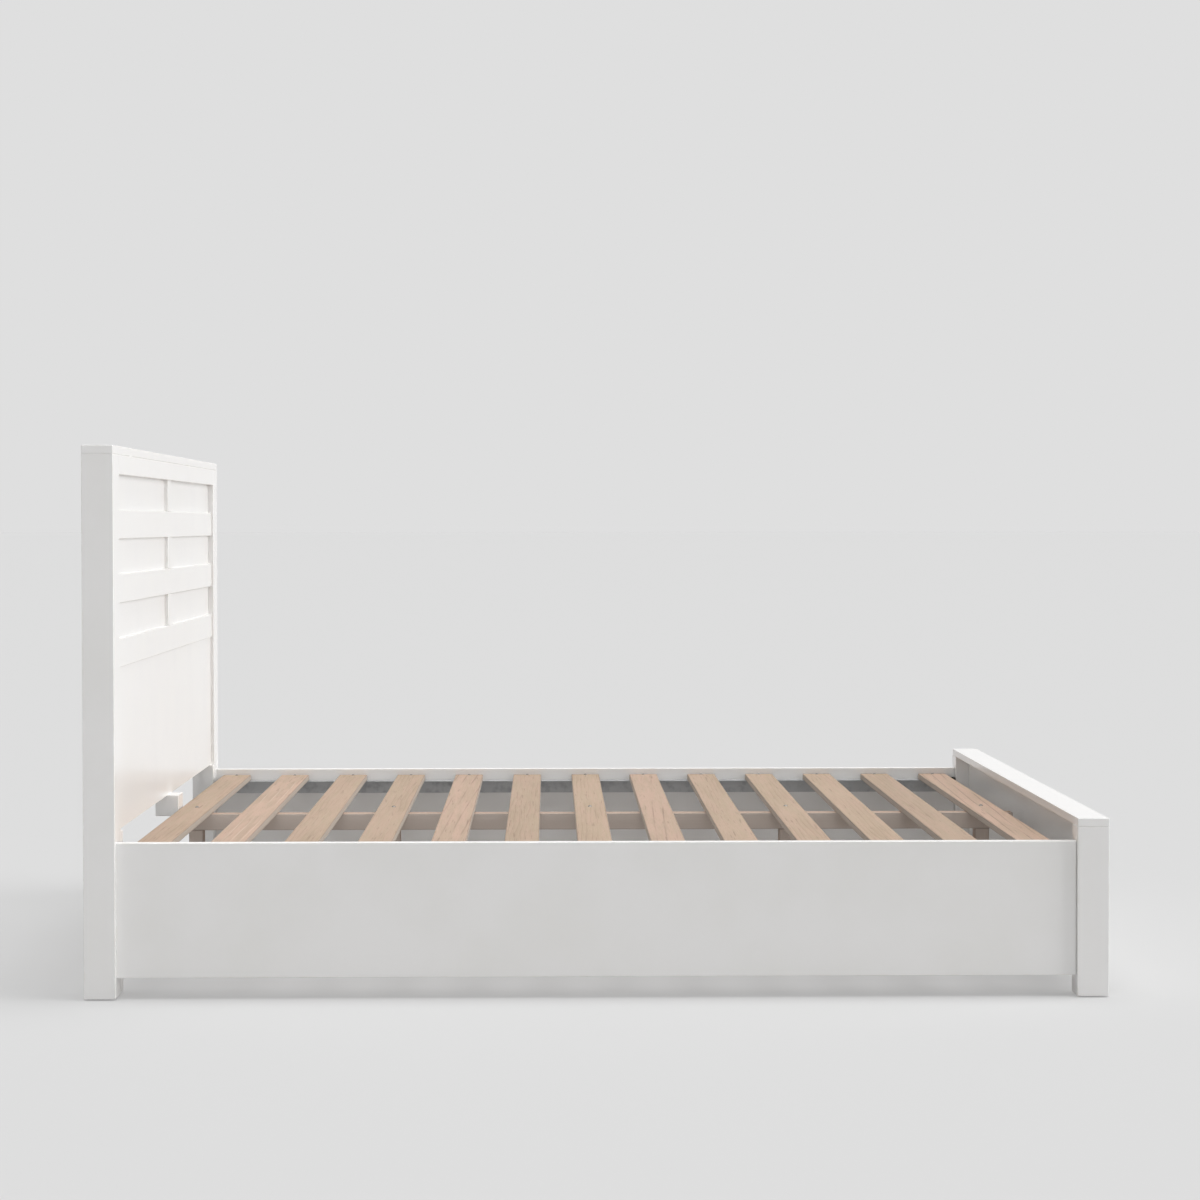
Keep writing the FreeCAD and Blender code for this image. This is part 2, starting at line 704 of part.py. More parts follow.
def fastener_groups():
    """The wood screws, dowels and glides in groups."""
    sides = SIDES.values()
    dowels = [dowel(p, UP, dowel_in_wood, dowel_in_cap) for p in head_cap_dowels() + foot_cap_dowels()]
    dowels += [dowel(p, Vector(0, side, 0), dowel_in_wood, dowel_in_wood) for side in sides
               for p in batten_dowels(side)]
    return {"slat_end_screws": [slat_screw(*screw) for screw in slat_end_screws()],
            "slat_beam_screws": [slat_screw(*screw) for screw in slat_beam_screws()],
            "ledger_screws": [bracket_screw(seat, Vector(0, side, 0)) for side in sides
                              for seat in ledger_screws(side)],
            "inner_leg_screws": [wood_screw(*screw) for side in sides for screw in inner_leg_screws(side)],
            "centre_block_screws": [wood_screw(*screw) for screw in block_screws()],
            "wood_dowels": dowels,
            "floor_glides": [floor_glide(place) for place in glide_places()]}


def write_parts():
    """Writes one STEP file for each named piece or group."""
    angles, angle_groups = steel_parts()
    for name, shape in {**painted_parts(), **deck_parts(), **angles}.items():
        solid = shape.Solids[0]
        solid.exportStep(f"parts/{name}.step")
    for name, solids in {**angle_groups, **fastener_groups()}.items():
        whole = [shape.Solids[0] for shape in solids]
        Part.makeCompound(whole).exportStep(f"parts/{name}.step")


write_parts()
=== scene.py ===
"""Looks of a white painted platform bed with a panelled headboard and bare wooden slats.

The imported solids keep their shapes. Each board gets a finish that is worked out from its own box:
satin white paint or planed wood. The hardware gets black powder coat, rolled steel, zinc plate,
moulded plastic or beech. A pale floor, soft light and a camera at the photograph's place complete
the scene. Lengths are in metres.
"""

import logging
import math
from dataclasses import dataclass, replace
from enum import Enum
from typing import Any, Mapping, Sequence, Union

import bpy
import numpy as np
from mathutils import Matrix, Vector

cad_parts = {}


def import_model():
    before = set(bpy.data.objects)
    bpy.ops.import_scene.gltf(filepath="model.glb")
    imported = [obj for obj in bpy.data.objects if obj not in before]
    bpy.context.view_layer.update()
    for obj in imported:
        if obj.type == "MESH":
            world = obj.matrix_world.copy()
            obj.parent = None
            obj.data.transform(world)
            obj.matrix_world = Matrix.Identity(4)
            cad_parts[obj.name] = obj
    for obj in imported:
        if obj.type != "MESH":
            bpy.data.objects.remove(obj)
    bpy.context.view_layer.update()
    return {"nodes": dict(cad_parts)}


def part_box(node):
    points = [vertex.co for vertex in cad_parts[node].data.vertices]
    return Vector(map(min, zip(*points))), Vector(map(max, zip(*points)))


LOG = logging.getLogger("bed")
NO_ENTRIES: Mapping[Any, Any] = {}
NOISE_MIDDLE = 0.5

Number = Union[int, float]
Pair = tuple[float, float]
Triple = tuple[float, float, float]
Colour = tuple[float, float, float, float]


class Axis(Enum):
    """The three directions of the bed's frame."""

    LENGTHWISE = 0
    ACROSS = 1
    UP = 2


def display(red: Number, green: Number, blue: Number) -> Colour:
    """Turns a colour as a screen shows it into the shader's linear colour, by the usual curve of screens.

    Args:
        red: Red from 0 to 255.
        green: Green from 0 to 255.
        blue: Blue from 0 to 255.

    Returns:
        The linear colour with full opacity.
    """
    shares = np.array([red, green, blue]) / 255.0
    linear = np.where(shares <= 0.04045, shares / 12.92, ((shares + 0.055) / 1.055) ** 2.4)
    return (float(linear[0]), float(linear[1]), float(linear[2]), 1.0)


class Value:
    """An output of a shader tree that takes part in Python arithmetic."""

    def __init__(self, tree: "FinishTree", socket: bpy.types.NodeSocket) -> None:
        """Wraps one output socket."""
        self.tree = tree
        self.socket = socket

    def __add__(self, other: "Operand") -> "Value":
        """The sum."""
        return self.tree.math("ADD", self, other)

    def __radd__(self, other: "Operand") -> "Value":
        """The sum, with the plain number first."""
        return self.tree.math("ADD", other, self)

    def __sub__(self, other: "Operand") -> "Value":
        """The difference."""
        return self.tree.math("SUBTRACT", self, other)

    def __rsub__(self, other: "Operand") -> "Value":
        """The difference, with the plain number first."""
        return self.tree.math("SUBTRACT", other, self)

    def __mul__(self, other: "Operand") -> "Value":
        """The product."""
        return self.tree.math("MULTIPLY", self, other)

    def __rmul__(self, other: "Operand") -> "Value":
        """The product, with the plain number first."""
        return self.tree.math("MULTIPLY", other, self)

    def __truediv__(self, other: "Operand") -> "Value":
        """The quotient."""
        return self.tree.math("DIVIDE", self, other)

    def __abs__(self) -> "Value":
        """The absolute value."""
        return self.tree.math("ABSOLUTE", self)

    def least(self, other: "Operand") -> "Value":
        """The smaller of the two."""
        return self.tree.math("MINIMUM", self, other)

    def greatest(self, other: "Operand") -> "Value":
        """The larger of the two."""
        return self.tree.math("MAXIMUM", self, other)

    def root(self) -> "Value":
        """The square root."""
        return self.tree.math("SQRT", self)

    def fraction(self) -> "Value":
        """The part after the whole number."""
        return self.tree.math("FRACT", self)

    def rise(self, low: float, high: float) -> "Value":
        """A smooth step from 0 at low to 1 at high."""
        inputs = {"Value": self, "From Min": low, "From Max": high}
        return self.tree.node("ShaderNodeMapRange", {"interpolation_type": "SMOOTHSTEP"}, inputs)

    def fall(self, low: float, high: float) -> "Value":
        """A smooth step from 1 at low to 0 at high."""
        return 1.0 - self.rise(low, high)


Operand = Union[Value, Number]
Owner = Union[bpy.types.Material, bpy.types.World]


class FinishTree:
    """The node tree of one material or world."""

    # A Mix node has sockets for every type of data, and these are the ones for colours
    MIX_FACTOR = 0
    MIX_FIRST = 6
    MIX_SECOND = 7
    MIX_RESULT = 2

    def __init__(self, owner: Owner) -> None:
        """Starts an empty tree.

        Args:
            owner: The material or world that the tree belongs to.
        """
        self.owner = owner
        owner.use_nodes = True
        self.nodes = owner.node_tree.nodes
        self.links = owner.node_tree.links
        self.nodes.clear()

    @classmethod
    def finish(cls, name: str) -> "FinishTree":
        """The tree of a new material of that name."""
        return cls(bpy.data.materials.new(name))

    def node(self, kind: str, settings: Mapping[str, Any] = NO_ENTRIES,
             inputs: Mapping[Union[str, int], Any] = NO_ENTRIES, output: Union[str, int] = 0) -> Value:
        """Adds any node.

        Args:
            kind: The node's type.
            settings: Its own settings, which are set first.
            inputs: A plain value or a wrapped output for each socket.
            output: The output that is wanted.

        Returns:
            That output, wrapped.
        """
        node = self.nodes.new(kind)
        for name, setting in settings.items():
            setattr(node, name, setting)
        for key, value in inputs.items():
            if isinstance(value, Value):
                self.links.new(value.socket, node.inputs[key])
            else:
                node.inputs[key].default_value = value
        return Value(self, node.outputs[output])

    def math(self, operation: str, *operands: Operand) -> Value:
        """Adds a Math node on up to three operands."""
        return self.node("ShaderNodeMath", {"operation": operation}, dict(enumerate(operands)))

    def place(self, centre: Sequence[float] = (0.0, 0.0, 0.0)) -> Value:
        """The point on the surface, counted from a centre in the bed's frame."""
        point = self.node("ShaderNodeTexCoord", output="Object")
        return self.node("ShaderNodeVectorMath", {"operation": "SUBTRACT"}, {0: point, 1: tuple(centre)})

    def axes(self, point: Value) -> tuple[Value, Value, Value]:
        """Splits a point.

        Args:
            point: The point.

        Returns:
            Its three coordinates.
        """
        split = self.node("ShaderNodeSeparateXYZ", inputs={0: point})
        first, second, third = (Value(self, output) for output in split.socket.node.outputs)
        return first, second, third

    def point(self, first: Operand, second: Operand, third: Operand) -> Value:
        """A point from three coordinates."""
        return self.node("ShaderNodeCombineXYZ", inputs={0: first, 1: second, 2: third})

    def blend(self, factor: Operand, first: Any, second: Any) -> Value:
        """Mixes two colours.

        Args:
            factor: The share of the second colour.
            first: A colour or a wrapped one.
            second: A colour or a wrapped one.

        Returns:
            The mixed colour.
        """
        settings = {"data_type": "RGBA", "blend_type": "MIX", "clamp_factor": True}
        inputs = {self.MIX_FACTOR: factor, self.MIX_FIRST: first, self.MIX_SECOND: second}
        return self.node("ShaderNodeMix", settings, inputs, self.MIX_RESULT)

    def bump(self, height: Value, depth: float) -> Value:
        """The normal of a surface with a relief: its height from 0 to 1, and its depth in metres."""
        return self.node("ShaderNodeBump", inputs={"Height": height, "Distance": depth, "Strength": 1.0})

    def seen(self) -> Value:
        """Tells what looks at the surface.

        Returns:
            1 where it is looked at, straight, in a gloss or through glass, and 0 where it lights something.
        """
        outputs = self.node("ShaderNodeLightPath").socket.node.outputs
        straight, gloss, through = (Value(self, outputs[name]) for name in
                                    ("Is Camera Ray", "Is Glossy Ray", "Is Transmission Ray"))
        return straight.greatest(gloss).greatest(through)

    def surface(self, inputs: Mapping[str, Any]) -> Owner:
        """Ends the tree in a Principled shader with these sockets, plain or wrapped, and gives its owner."""
        return self.output(self.node("ShaderNodeBsdfPrincipled", inputs=inputs))

    def output(self, shader: Value) -> Owner:
        """Ends the tree in any shader.

        Args:
            shader: The shader.

        Returns:
            The tree's owner.
        """
        in_world = isinstance(self.owner, bpy.types.World)
        end = self.nodes.new("ShaderNodeOutputWorld" if in_world else "ShaderNodeOutputMaterial")
        self.links.new(shader.socket, end.inputs["Surface"])
        return self.owner


@dataclass(frozen=True)
class Pattern:
    """Cloudy noise: features in a metre along each axis, finer layers, their strength and its own seed."""

    per_metre: Triple
    detail: float
    strength: float = 0.5
    seed: float = 0.0

    @classmethod
    def even(cls, per_metre: float, detail: float, seed: float = 0.0) -> "Pattern":
        """A pattern with as many features along every axis."""
        return cls((per_metre, per_metre, per_metre), detail, seed=seed)

    def stretched(self, axis: Axis, per_metre: float) -> "Pattern":
        """The same pattern with another count of features along one axis.

        Args:
            axis: The axis.
            per_metre: How many features it has in a metre along it.

        Returns:
            The new pattern.
        """
        counts = list(self.per_metre)
        counts[axis.value] = per_metre
        return replace(self, per_metre=tuple(counts))

    def read(self, tree: FinishTree, point: Value, seed: float = 0.0) -> Value:
        """Reads the noise.

        Args:
            tree: The finish's tree.
            point: Where it is read.
            seed: The board's seed, so that no two boards are alike.

        Returns:
            The noise from 0 to 1, mostly near one half.
        """
        scaled = tree.node("ShaderNodeVectorMath", {"operation": "MULTIPLY"}, {0: point, 1: self.per_metre})
        inputs = {"Vector": scaled, "W": seed + self.seed, "Scale": 1.0, "Detail": self.detail,
                  "Roughness": self.strength}
        return tree.node("ShaderNodeTexNoise", {"noise_dimensions": "4D"}, inputs)


@dataclass(frozen=True)
class Box:
    """The lowest and highest corner of a piece."""

    low: Triple
    high: Triple

    @classmethod
    def of(cls, node: str) -> "Box":
        """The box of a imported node."""
        low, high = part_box(node)
        return cls(tuple(low), tuple(high))

    @property
    def centre(self) -> Triple:
        """The middle of the box."""
        return tuple((a + b) / 2 for a, b in zip(self.low, self.high))

    @property
    def half(self) -> Triple:
        """Half the size along each axis."""
        return tuple((b - a) / 2 for a, b in zip(self.low, self.high))

    @property
    def grain(self) -> Axis:
        """The axis that the piece is longest along."""
        return Axis(int(np.argmax(self.half)))

    def directions(self, tree: FinishTree, point: Value) -> tuple[Value, Value, Value]:
        """Distances from the centre along the grain, across the width and through the thickness.

        Args:
            tree: The finish's tree.
            point: The point, from the box's centre.

        Returns:
            The three distances.
        """
        values = tree.axes(point)
        thin, wide, along = (int(index) for index in np.argsort(self.half))
        return values[along], values[wide], values[thin]

    def edge(self, tree: FinishTree, point: Value, reach: float) -> Value:
        """A mask of the box's edges, from the middle one of the distances to its three pairs of sides.

        Args:
            tree: The finish's tree.
            point: The point, from the box's centre.
            reach: How far the mask goes from an edge.

        Returns:
            The mask, 1 on the edges.
        """
        first, second, third = (half - abs(value) for half, value in zip(self.half, tree.axes(point)))
        middle = first.least(second).greatest(first.greatest(second).least(third))
        return middle.fall(0.0, reach)


@dataclass(frozen=True)
class SatinPaint:
    """White satin paint on wood: faint grain shows through, and the edges are rubbed a little."""

    colour: Colour = display(240, 239, 238)
    cloud_colour: Colour = display(237, 236, 234)
    rubbed: Colour = display(226, 221, 212)
    clouds: Pattern = Pattern.even(5.0, 3.0)
    cloud_range: Pair = (0.35, 0.7)
    patches: Pattern = Pattern.even(38.0, 3.0)
    patch_range: Pair = (0.42, 0.66)
    edge_reach: float = 0.0045
    edge_share: float = 0.35
    roughness: float = 0.21
    cloud_roughness: float = 0.10
    edge_roughness: float = 0.05
    peel: Pattern = Pattern.even(420.0, 2.0)
    peel_share: float = 0.45
    grain: Pattern = Pattern((300.0, 300.0, 300.0), 3.0, 0.6)
    grain_along: float = 9.0
    grain_share: float = 0.55
    relief: float = 0.00012
    refraction: float = 1.47

    def build(self, node: str, seed: float) -> bpy.types.Material:
        """Makes the paint of one board.

        Args:
            node: The board's name.
            seed: Which one of many like patterns.

        Returns:
            The material.
        """
        box = Box.of(node)
        tree = FinishTree.finish(f"paint_{node}")
        point = tree.place(box.centre)
        clouds = self.clouds.read(tree, point, seed)
        patchy = self.patches.read(tree, point, seed).rise(*self.patch_range)
        peel = self.peel.read(tree, point, seed)
        grain = self.grain.stretched(box.grain, self.grain_along).read(tree, point, seed)
        edge = box.edge(tree, point, self.edge_reach)
        colour = tree.blend(clouds.rise(*self.cloud_range), self.colour, self.cloud_colour)
        colour = tree.blend(edge * patchy * self.edge_share, colour, self.rubbed)
        uneven = (clouds - NOISE_MIDDLE) * self.cloud_roughness + edge * self.edge_roughness
        relief = tree.bump(peel * self.peel_share + grain * self.grain_share, self.relief)
        return tree.surface({"Base Color": colour, "Roughness": self.roughness + uneven, "Normal": relief,
                             "IOR": self.refraction})


@dataclass(frozen=True)
class PlankWood:
    """Planed wood: rings of a tree whose middle lies below the board, a mottle, fibres, pores and flecks.

    The two narrow sides are sawn and greyer, and lighter as painted bounce light; the ends and edges are
    darker. Each pattern counts its features across the board, along it and through it.
    """

    light: Colour = display(176, 155, 132)
    dark: Colour = display(148, 124, 100)
    blush: Colour = display(182, 152, 134)
    streak: Colour = display(104, 80, 64)
    line_colour: Colour = display(112, 86, 72)
    # Colour of the narrow sides: sawn wood greyer, and lighter as painted bounce light
    sawn_side_painted_light: Colour = display(183, 172, 161)

    # The tree's rings
    ring_width: float = 0.0065
    pith_depth: float = 0.30
    pith_shift: float = 0.22
    lean: float = 0.004
    sideways_lean: float = 0.35
    bend: Pattern = Pattern((9.0, 1.6, 9.0), 2.0)
    wander: float = 0.012
    unevenness: Pattern = Pattern((30.0, 2.5, 30.0), 2.0, seed=5.0)
    uneven_rings: float = 1.6
    late_rise: Pair = (0.25, 0.92)
    late_fall: Pair = (0.93, 1.0)
    line_rise: Pair = (0.78, 0.85)
    line_fall: Pair = (0.90, 0.97)
    ring_share: float = 0.16
    line_share: float = 0.25

    # What lies over the rings
    base_shade: float = 0.30
    patches: Pattern = Pattern((16.0, 2.2, 16.0), 2.0, seed=11.3)
    patch_range: Pair = (0.40, 0.60)
    patch_share: float = 0.6
    fibres: Pattern = Pattern((520.0, 6.0, 520.0), 4.0, 0.7, 3.1)
    fibre_share: float = 0.68
    mottle: Pattern = Pattern((62.0, 3.5, 62.0), 3.0, 0.6, 17.9)
    mottle_range: Pair = (0.40, 0.62)
    blush_share: float = 0.45
    pores: Pattern = Pattern((1350.0, 55.0, 1350.0), 1.0, seed=7.7)
    pore_range: Pair = (0.60, 0.72)
    pore_share: float = 0.30
    flecks: Pattern = Pattern((230.0, 8.0, 230.0), 1.0, seed=23.3)
    fleck_range: Pair = (0.63, 0.74)
    fleck_share: float = 0.45

    # Sides, ends and edges, with the depths at which their masks start and end
    side_depths: Pair = (0.0014, 0.0004)
    sawn_side_painted_light_share: float = 0.80
    end_depths: Pair = (0.0016, 0.0004)
    end_share: float = 0.40
    edge_reach: float = 0.0034
    edge_share: float = 0.55

    # The surface
    roughness: float = 0.56
    fibre_roughness: float = 0.22
    end_roughness: float = 0.15
    side_roughness: float = 0.12
    fibre_height: float = 0.7
    ring_height: float = 0.3
    pore_depth: float = 0.6
    relief: float = 0.00022
    refraction: float = 1.45

    def build(self, node: str, seed: float) -> bpy.types.Material:
        """Makes the wood of one board.

        Args:
            node: The board's name.
            seed: Which one of many like patterns.

        Returns:
            The material.
        """
        box = Box.of(node)
        tree = FinishTree.finish(f"wood_{node}")
        point = tree.place(box.centre)
        along, wide, deep = box.directions(tree, point)
        board = tree.point(wide, along, deep)
        bend = self.bend.read(tree, board, seed) - NOISE_MIDDLE
        turn = self.rings(tree, along, wide + bend * self.wander, deep, seed).fraction()
        late = turn.rise(*self.late_rise) * turn.fall(*self.late_fall)
        fibres = self.fibres.read(tree, board, seed) - NOISE_MIDDLE
        pores = self.pores.read(tree, board, seed).rise(*self.pore_range)
        flecks = self.flecks.read(tree, board, seed).rise(*self.fleck_range)
        _, half_width, half_length = sorted(box.half)
        # Mask of the narrow sides, where the greyer colour with its painted bounce light goes
        sawn_side_painted_light = abs(wide).rise(*(half_width - depth for depth in self.side_depths))
        end = abs(along).rise(*(half_length - depth for depth in self.end_depths))
        edge = box.edge(tree, point, self.edge_reach)
        colour = self.figure(tree, board, turn, late, fibres, seed)
        for factor, over in ((pores * self.pore_share, self.streak), (flecks * self.fleck_share, self.streak),
                             (sawn_side_painted_light * self.sawn_side_painted_light_share, self.sawn_side_painted_light), (edge * self.edge_share, self.streak),
                             (end * self.end_share, self.streak)):
            colour = tree.blend(factor, colour, over)
        uneven = fibres * self.fibre_roughness + end * self.end_roughness + sawn_side_painted_light * self.side_roughness
        height = fibres * self.fibre_height + late * self.ring_height - pores * self.pore_depth
        return tree.surface({"Base Color": colour, "Roughness": self.roughness + uneven,
                             "Normal": tree.bump(height, self.relief), "IOR": self.refraction})

    def figure(self, tree: FinishTree, board: Value, turn: Value, late: Value, fibres: Value,
               seed: float) -> Value:
        """The colour of a planed face, without its pores and flecks.

        Args:
            tree: The wood's tree.
            board: The point across the board, along it and through it.
            turn: How far the point is through its ring, from 0 to 1.
            late: A mask of each ring's dark part.
            fibres: The fibres, about 0.
            seed: Which one of many like patterns.

        Returns:
            The colour.
        """
        patches = self.patches.read(tree, board, seed)
        shown = patches.rise(*self.patch_range)
        line = turn.rise(*self.line_rise) * turn.fall(*self.line_fall) * shown
        mottle = self.mottle.read(tree, board, seed).rise(*self.mottle_range)
        soft = late * shown * self.ring_share + (patches - NOISE_MIDDLE) * self.patch_share
        colour = tree.blend(soft + fibres * self.fibre_share + self.base_shade, self.light, self.dark)
        colour = tree.blend(mottle * self.blush_share, colour, self.blush)
        return tree.blend(line * self.line_share, colour, self.line_colour)

    def rings(self, tree: FinishTree, along: Value, wide: Value, deep: Value, seed: float) -> Value:
        """The count of rings from the middle of the tree, which leans a little against the board.

        Args:
            tree: The wood's tree.
            along: Distance along the grain.
            wide: Distance across the board.
            deep: Distance through the board.
            seed: Which one of many like patterns.

        Returns:
            The distance to the leaning middle line over the width of a ring, made uneven by noise.
        """
        sideways = wide - self.pith_shift - along * (self.lean * self.sideways_lean)
        below = deep + self.pith_depth + along * self.lean
        distance = (sideways * sideways + below * below).root()
        uneven = self.unevenness.read(tree, tree.point(wide, along, deep), seed)
        return distance / self.ring_width + uneven * self.uneven_rings

    def toned(self, share: float) -> "PlankWood":
        """The same wood from a paler or darker plank, or made lighter as painted light.

        Args:
            share: The share of this wood's light that the other throws back.

        Returns:
            The other wood.
        """
        light, dark, blush = (tuple(value * share for value in colour[:3]) + (1.0,)
                              for colour in (self.light, self.dark, self.blush))
        return replace(self, light=light, dark=dark, blush=blush)


@dataclass(frozen=True)
class PlainCoat:
    """A coat with a fine relief and a little unevenness, for metal, plastic and dowels."""

    name: str
    colour: Colour
    worn: Colour
    metallic: float
    roughness: float
    fine: Pattern
    relief: float
    fine_roughness: float = 0.1
    clouds: Pattern = Pattern.even(55.0, 3.0, seed=2.0)
    cloud_range: Pair = (0.45, 0.75)
    cloud_roughness: float = 0.2

    def build(self) -> bpy.types.Material:
        """Makes the coat.

        Returns:
            The material.
        """
        tree = FinishTree.finish(self.name)
        point = tree.place()
        fine = self.fine.read(tree, point)
        clouds = self.clouds.read(tree, point)
        colour = tree.blend(clouds.rise(*self.cloud_range), self.colour, self.worn)
        uneven = (clouds - NOISE_MIDDLE) * self.cloud_roughness + (fine - NOISE_MIDDLE) * self.fine_roughness
        return tree.surface({"Base Color": colour, "Roughness": self.roughness + uneven,
                             "Normal": tree.bump(fine, self.relief), "Metallic": self.metallic})


def paint_over(piece: bpy.types.Object, material: bpy.types.Material) -> None:
    """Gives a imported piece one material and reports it.

    Args:
        piece: The piece.
        material: Its material.
    """
    piece.data.materials.clear()
    piece.data.materials.append(material)
    LOG.info("%s has %s", piece.name, material.name)


class PaintedFrame:
    """The white painted pieces: headboard, footboard and side rails."""

    STARTS = ("head_", "foot_", "side_rail_")

    def __init__(self, nodes: Mapping[str, bpy.types.Object]) -> None:
        """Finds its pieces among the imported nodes."""
        self.pieces = {name: piece for name, piece in sorted(nodes.items()) if name.startswith(self.STARTS)}

    def dress(self, finish: SatinPaint) -> None:
        """Paints every piece, each with its own pattern."""
        for seed, (name, piece) in enumerate(self.pieces.items()):
            paint_over(piece, finish.build(name, float(seed)))


class Cut(Enum):
    """How a plank was sawn from its tree."""

    STRAIGHT = PlankWood()
    FLAMED = PlankWood(light=display(176, 153, 132), dark=display(149, 124, 103), ring_width=0.021,
                       pith_depth=0.050, pith_shift=0.10, lean=0.030, wander=0.003, uneven_rings=0.25,
                       ring_share=0.10, blush_share=0.70, line_share=0.55)
    PALE_FLAMED = PlankWood(light=display(172, 150, 129), dark=display(146, 121, 101), ring_width=0.019,
                            pith_depth=0.050, pith_shift=-0.11, lean=0.034, wander=0.004, uneven_rings=0.30,
                            ring_share=0.10, blush_share=0.70, line_share=0.45,
                            line_colour=display(206, 188, 172))
    # The beam's wide faces are much paler than its top: painted light standing in for the brighter light on
    # its front face
    BEAM = PlankWood(light=display(172, 151, 134), dark=display(148, 126, 109), sawn_side_painted_light=display(213, 201, 192),
                     sawn_side_painted_light_share=0.92, edge_share=0.30)


class SlattedDeck:
    """The slats, the centre beam and its legs."""

    CUTS = {"slat_02": Cut.PALE_FLAMED, "slat_05": Cut.FLAMED, "slat_08": Cut.FLAMED,
            "slat_13": Cut.FLAMED}
    # Plank tones; slat_13 is made lighter as painted light, to cancel the footboard's shadow across it
    TONES_AND_PAINTED_LIGHT = {"slat_01": 0.99, "slat_02": 1.00, "slat_03": 0.91, "slat_04": 0.92, "slat_05": 1.00,
             "slat_06": 0.92, "slat_07": 0.99, "slat_08": 1.00, "slat_09": 0.96, "slat_10": 0.98,
             "slat_11": 0.99, "slat_12": 0.92, "slat_13": 1.14}
    PLAIN_TONE = 1.0
    SUPPORT_SEED = 40.0

    def __init__(self, nodes: Mapping[str, bpy.types.Object]) -> None:
        """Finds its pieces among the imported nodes."""
        self.slats = {name: piece for name, piece in sorted(nodes.items())
                      if name.startswith("slat_") and name[-2:].isdigit()}
        self.support = {name: piece for name, piece in sorted(nodes.items())
                        if name == "centre_beam" or name.startswith("centre_leg_")}

    def dress(self) -> None:
        """Gives every slat and the support under them its wood."""
        for seed, (name, piece) in enumerate(self.slats.items()):
            wood = self.CUTS.get(name, Cut.STRAIGHT).value
            paint_over(piece, wood.toned(self.TONES_AND_PAINTED_LIGHT.get(name, self.PLAIN_TONE)).build(name, float(seed)))
        for seed, (name, piece) in enumerate(self.support.items()):
            paint_over(piece, Cut.BEAM.value.build(name, self.SUPPORT_SEED + seed))


class Hardware:
    """Ledgers, brackets, bolts, screws, inserts, dowels and glides."""

    BLACK = PlainCoat("black_powder_coat", display(28, 28, 29), display(44, 44, 45), metallic=0.0,
                      roughness=0.48, fine=Pattern.even(900.0, 3.0), relief=0.0001)
    ROLLED = PlainCoat("rolled_steel", display(174, 175, 176), display(152, 153, 155), metallic=0.65,
                       roughness=0.42, fine=Pattern((60.0, 900.0, 900.0), 3.0), relief=0.00005)
    ZINC = PlainCoat("zinc_plate", display(128, 126, 121), display(104, 102, 98), metallic=0.85,
                     roughness=0.42, fine=Pattern.even(700.0, 3.0), relief=0.00003)
    PLASTIC = PlainCoat("moulded_plastic", display(228, 228, 225), display(214, 213, 208), metallic=0.0,
                        roughness=0.5, fine=Pattern.even(1200.0, 3.0), relief=0.00004)
    BEECH = PlainCoat("beech_dowel", display(206, 176, 140), display(184, 150, 112), metallic=0.0,
                      roughness=0.6, fine=Pattern((500.0, 500.0, 40.0), 3.0), relief=0.0001)

    def __init__(self, nodes: Mapping[str, bpy.types.Object]) -> None:
        """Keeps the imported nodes."""
        self.nodes = nodes

    def dress(self) -> None:
        """Gives every piece of hardware its coat."""
        black = [name for name in self.nodes if name.startswith("rail_bracket") or name == "beam_bracket"]
        zinc = [name for name in self.nodes if name.endswith("_screws") or name == "post_inserts"]
        ledgers = [name for name in self.nodes if name.startswith("slat_ledger_")]
        for coat, names in ((self.BLACK, black), (self.ROLLED, ledgers), (self.ZINC, zinc),
                            (self.PLASTIC, ["floor_glides"]), (self.BEECH, ["wood_dowels"])):
            material = coat.build()
            for name in names:
                paint_over(self.nodes[name], material)


@dataclass(frozen=True)
class SoftSun:
    """A wide distant lamp: the direction that it shines from, its share of the light and its width."""

    name: str
    source: Triple
    share: float
    width_degrees: float

    def hang(self) -> None:
        """Adds the lamp. A share of 1 lights a white face that is square to it to white."""
        lamp = bpy.data.lights.new(self.name, "SUN")
        lamp.energy = self.share * math.pi
        lamp.angle = math.radians(self.width_degrees)
        holder = bpy.data.objects.new(self.name, lamp)
        holder.rotation_euler = Vector(self.source).to_track_quat("Z", "Y").to_euler()
        bpy.context.scene.collection.objects.link(holder)


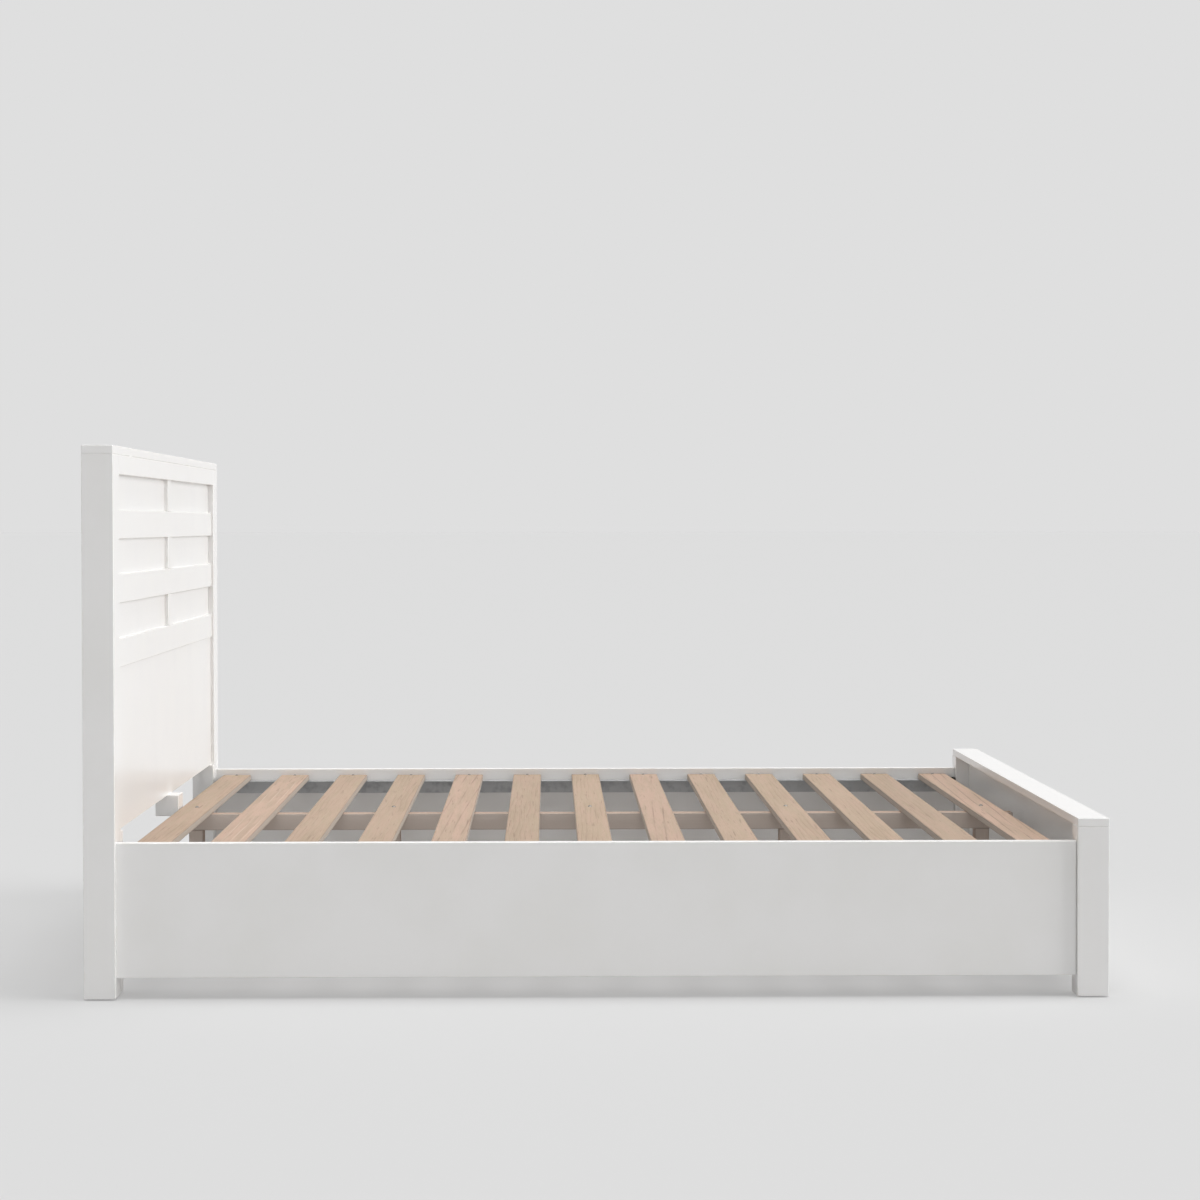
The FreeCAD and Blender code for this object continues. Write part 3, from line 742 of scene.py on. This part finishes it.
@dataclass(frozen=True)
class Studio:
    """The pale floor and backdrop, the light and the camera, whose angles are in radians."""

    backdrop: Colour = display(223, 223, 223)
    floor_radius: float = 400.0
    floor_sides: int = 64
    ring_shares: Pair = (0.5, 1.0)
    floor_colour: Colour = display(200, 200, 200)
    floor_glow: float = 0.40
    dim_colour: Colour = display(100, 100, 100)
    dim_range: Pair = (1.10, 1.40)
    dim_sides: Pair = (0.96, 1.25)
    white: Colour = (1.0, 1.0, 1.0, 1.0)
    ambient: float = 0.16
    suns: tuple[SoftSun, ...] = (
        SoftSun("top_lamp", source=(0.06, -0.03, 1.0), share=0.74, width_degrees=45.0),
        SoftSun("foot_lamp", source=(0.95, -0.04, 0.30), share=0.86, width_degrees=60.0),
        SoftSun("front_lamp", source=(-0.10, -0.95, 0.30), share=0.095, width_degrees=60.0),
        SoftSun("head_lamp", source=(-0.75, -0.05, 0.65), share=0.08, width_degrees=60.0),
    )
    camera_place: Triple = (-0.1041, -7.0945, 1.0105)
    camera_turn: float = 0.01780
    camera_dip: float = 0.02601
    camera_roll: float = -0.00064
    focal_pixels: float = 2891.2
    photo_pixels: float = 1200.0
    sensor_width: float = 36.0

    def build(self) -> None:
        """Sets up everything round the bed."""
        bpy.context.scene.view_settings.view_transform = "Standard"
        self.lay_floor()
        self.light_world()
        for sun in self.suns:
            sun.hang()
        self.set_camera()

    def lay_floor(self) -> None:
        """Lays a round floor at height 0: its middle, then a grid of radius by angle for two rings."""
        sides = self.floor_sides
        angles = np.linspace(0.0, 2.0 * np.pi, sides, endpoint=False)
        radius, angle = np.meshgrid(np.array(self.ring_shares) * self.floor_radius, angles, indexing="ij")
        rings = np.stack([radius * np.cos(angle), radius * np.sin(angle), np.zeros_like(radius)], axis=-1)
        points = np.concatenate([np.zeros((1, 3)), rings.reshape(-1, 3)])
        first = np.arange(1, sides + 1)
        second = np.roll(first, -1)
        inner = np.stack([np.zeros(sides, int), first, second], axis=1)
        outer = np.stack([first, first + sides, second + sides, second], axis=1)
        mesh = bpy.data.meshes.new("floor")
        mesh.from_pydata(points.tolist(), [], inner.tolist() + outer.tolist())
        floor = bpy.data.objects.new("floor", mesh)
        bpy.context.scene.collection.objects.link(floor)
        mesh.materials.append(self.floor_finish())

    def floor_finish(self) -> bpy.types.Material:
        """A pale matt floor whose seen colour is part its own glow, so that shadows on it stay light.

        Beyond the bed's foot it throws little light back, so that the white footboard isn't overlit.

        Returns:
            The material.
        """
        tree = FinishTree.finish("pale_floor")
        seen = tree.seen()
        lengthwise, across, _ = tree.axes(tree.place())
        dim = lengthwise.rise(*self.dim_range) * abs(across).fall(*self.dim_sides)
        thrown = tree.blend(dim, self.floor_colour, self.dim_colour)
        colour = tree.blend(seen, thrown, self.floor_colour)
        matt = tree.node("ShaderNodeBsdfDiffuse", inputs={"Color": colour})
        glow = tree.node("ShaderNodeEmission", inputs={"Color": self.backdrop, "Strength": 1.0})
        inputs = {0: seen * self.floor_glow, 1: matt, 2: glow}
        return tree.output(tree.node("ShaderNodeMixShader", inputs=inputs))

    def light_world(self) -> None:
        """Even light from all round, with the backdrop's colour where it is looked at."""
        tree = FinishTree(bpy.data.worlds.new("studio"))
        even = tree.node("ShaderNodeBackground", inputs={"Color": self.white, "Strength": self.ambient})
        backdrop = tree.node("ShaderNodeBackground", inputs={"Color": self.backdrop, "Strength": 1.0})
        mixed = tree.node("ShaderNodeMixShader", inputs={0: tree.seen(), 1: even, 2: backdrop})
        bpy.context.scene.world = tree.output(mixed)

    def set_camera(self) -> None:
        """Sets the camera: turned from +Y towards +X, dipped below level and rolled about its view."""
        turn, dip, roll = self.camera_turn, self.camera_dip, self.camera_roll
        ahead = Vector((math.sin(turn) * math.cos(dip), math.cos(turn) * math.cos(dip), -math.sin(dip)))
        right = Vector((math.cos(turn), -math.sin(turn), 0.0))
        up = right.cross(ahead)
        rolled_right = right * math.cos(roll) + up * math.sin(roll)
        rolled_up = up * math.cos(roll) - right * math.sin(roll)
        camera = bpy.data.cameras.new("photo_camera")
        camera.sensor_width = self.sensor_width
        camera.lens = self.sensor_width * self.focal_pixels / self.photo_pixels
        camera.clip_end = 2.0 * self.floor_radius
        holder = bpy.data.objects.new("photo_camera", camera)
        turned = Matrix((rolled_right, rolled_up, -ahead)).transposed().to_4x4()
        holder.matrix_world = Matrix.Translation(self.camera_place) @ turned
        bpy.context.scene.collection.objects.link(holder)
        bpy.context.scene.camera = holder


def main() -> None:
    """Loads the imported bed, dresses it and sets up the studio."""
    logging.basicConfig(level=logging.INFO)
    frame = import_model()
    nodes = frame["nodes"]
    PaintedFrame(nodes).dress(SatinPaint())
    SlattedDeck(nodes).dress()
    Hardware(nodes).dress()
    Studio().build()


if __name__ == "__main__":
    main()
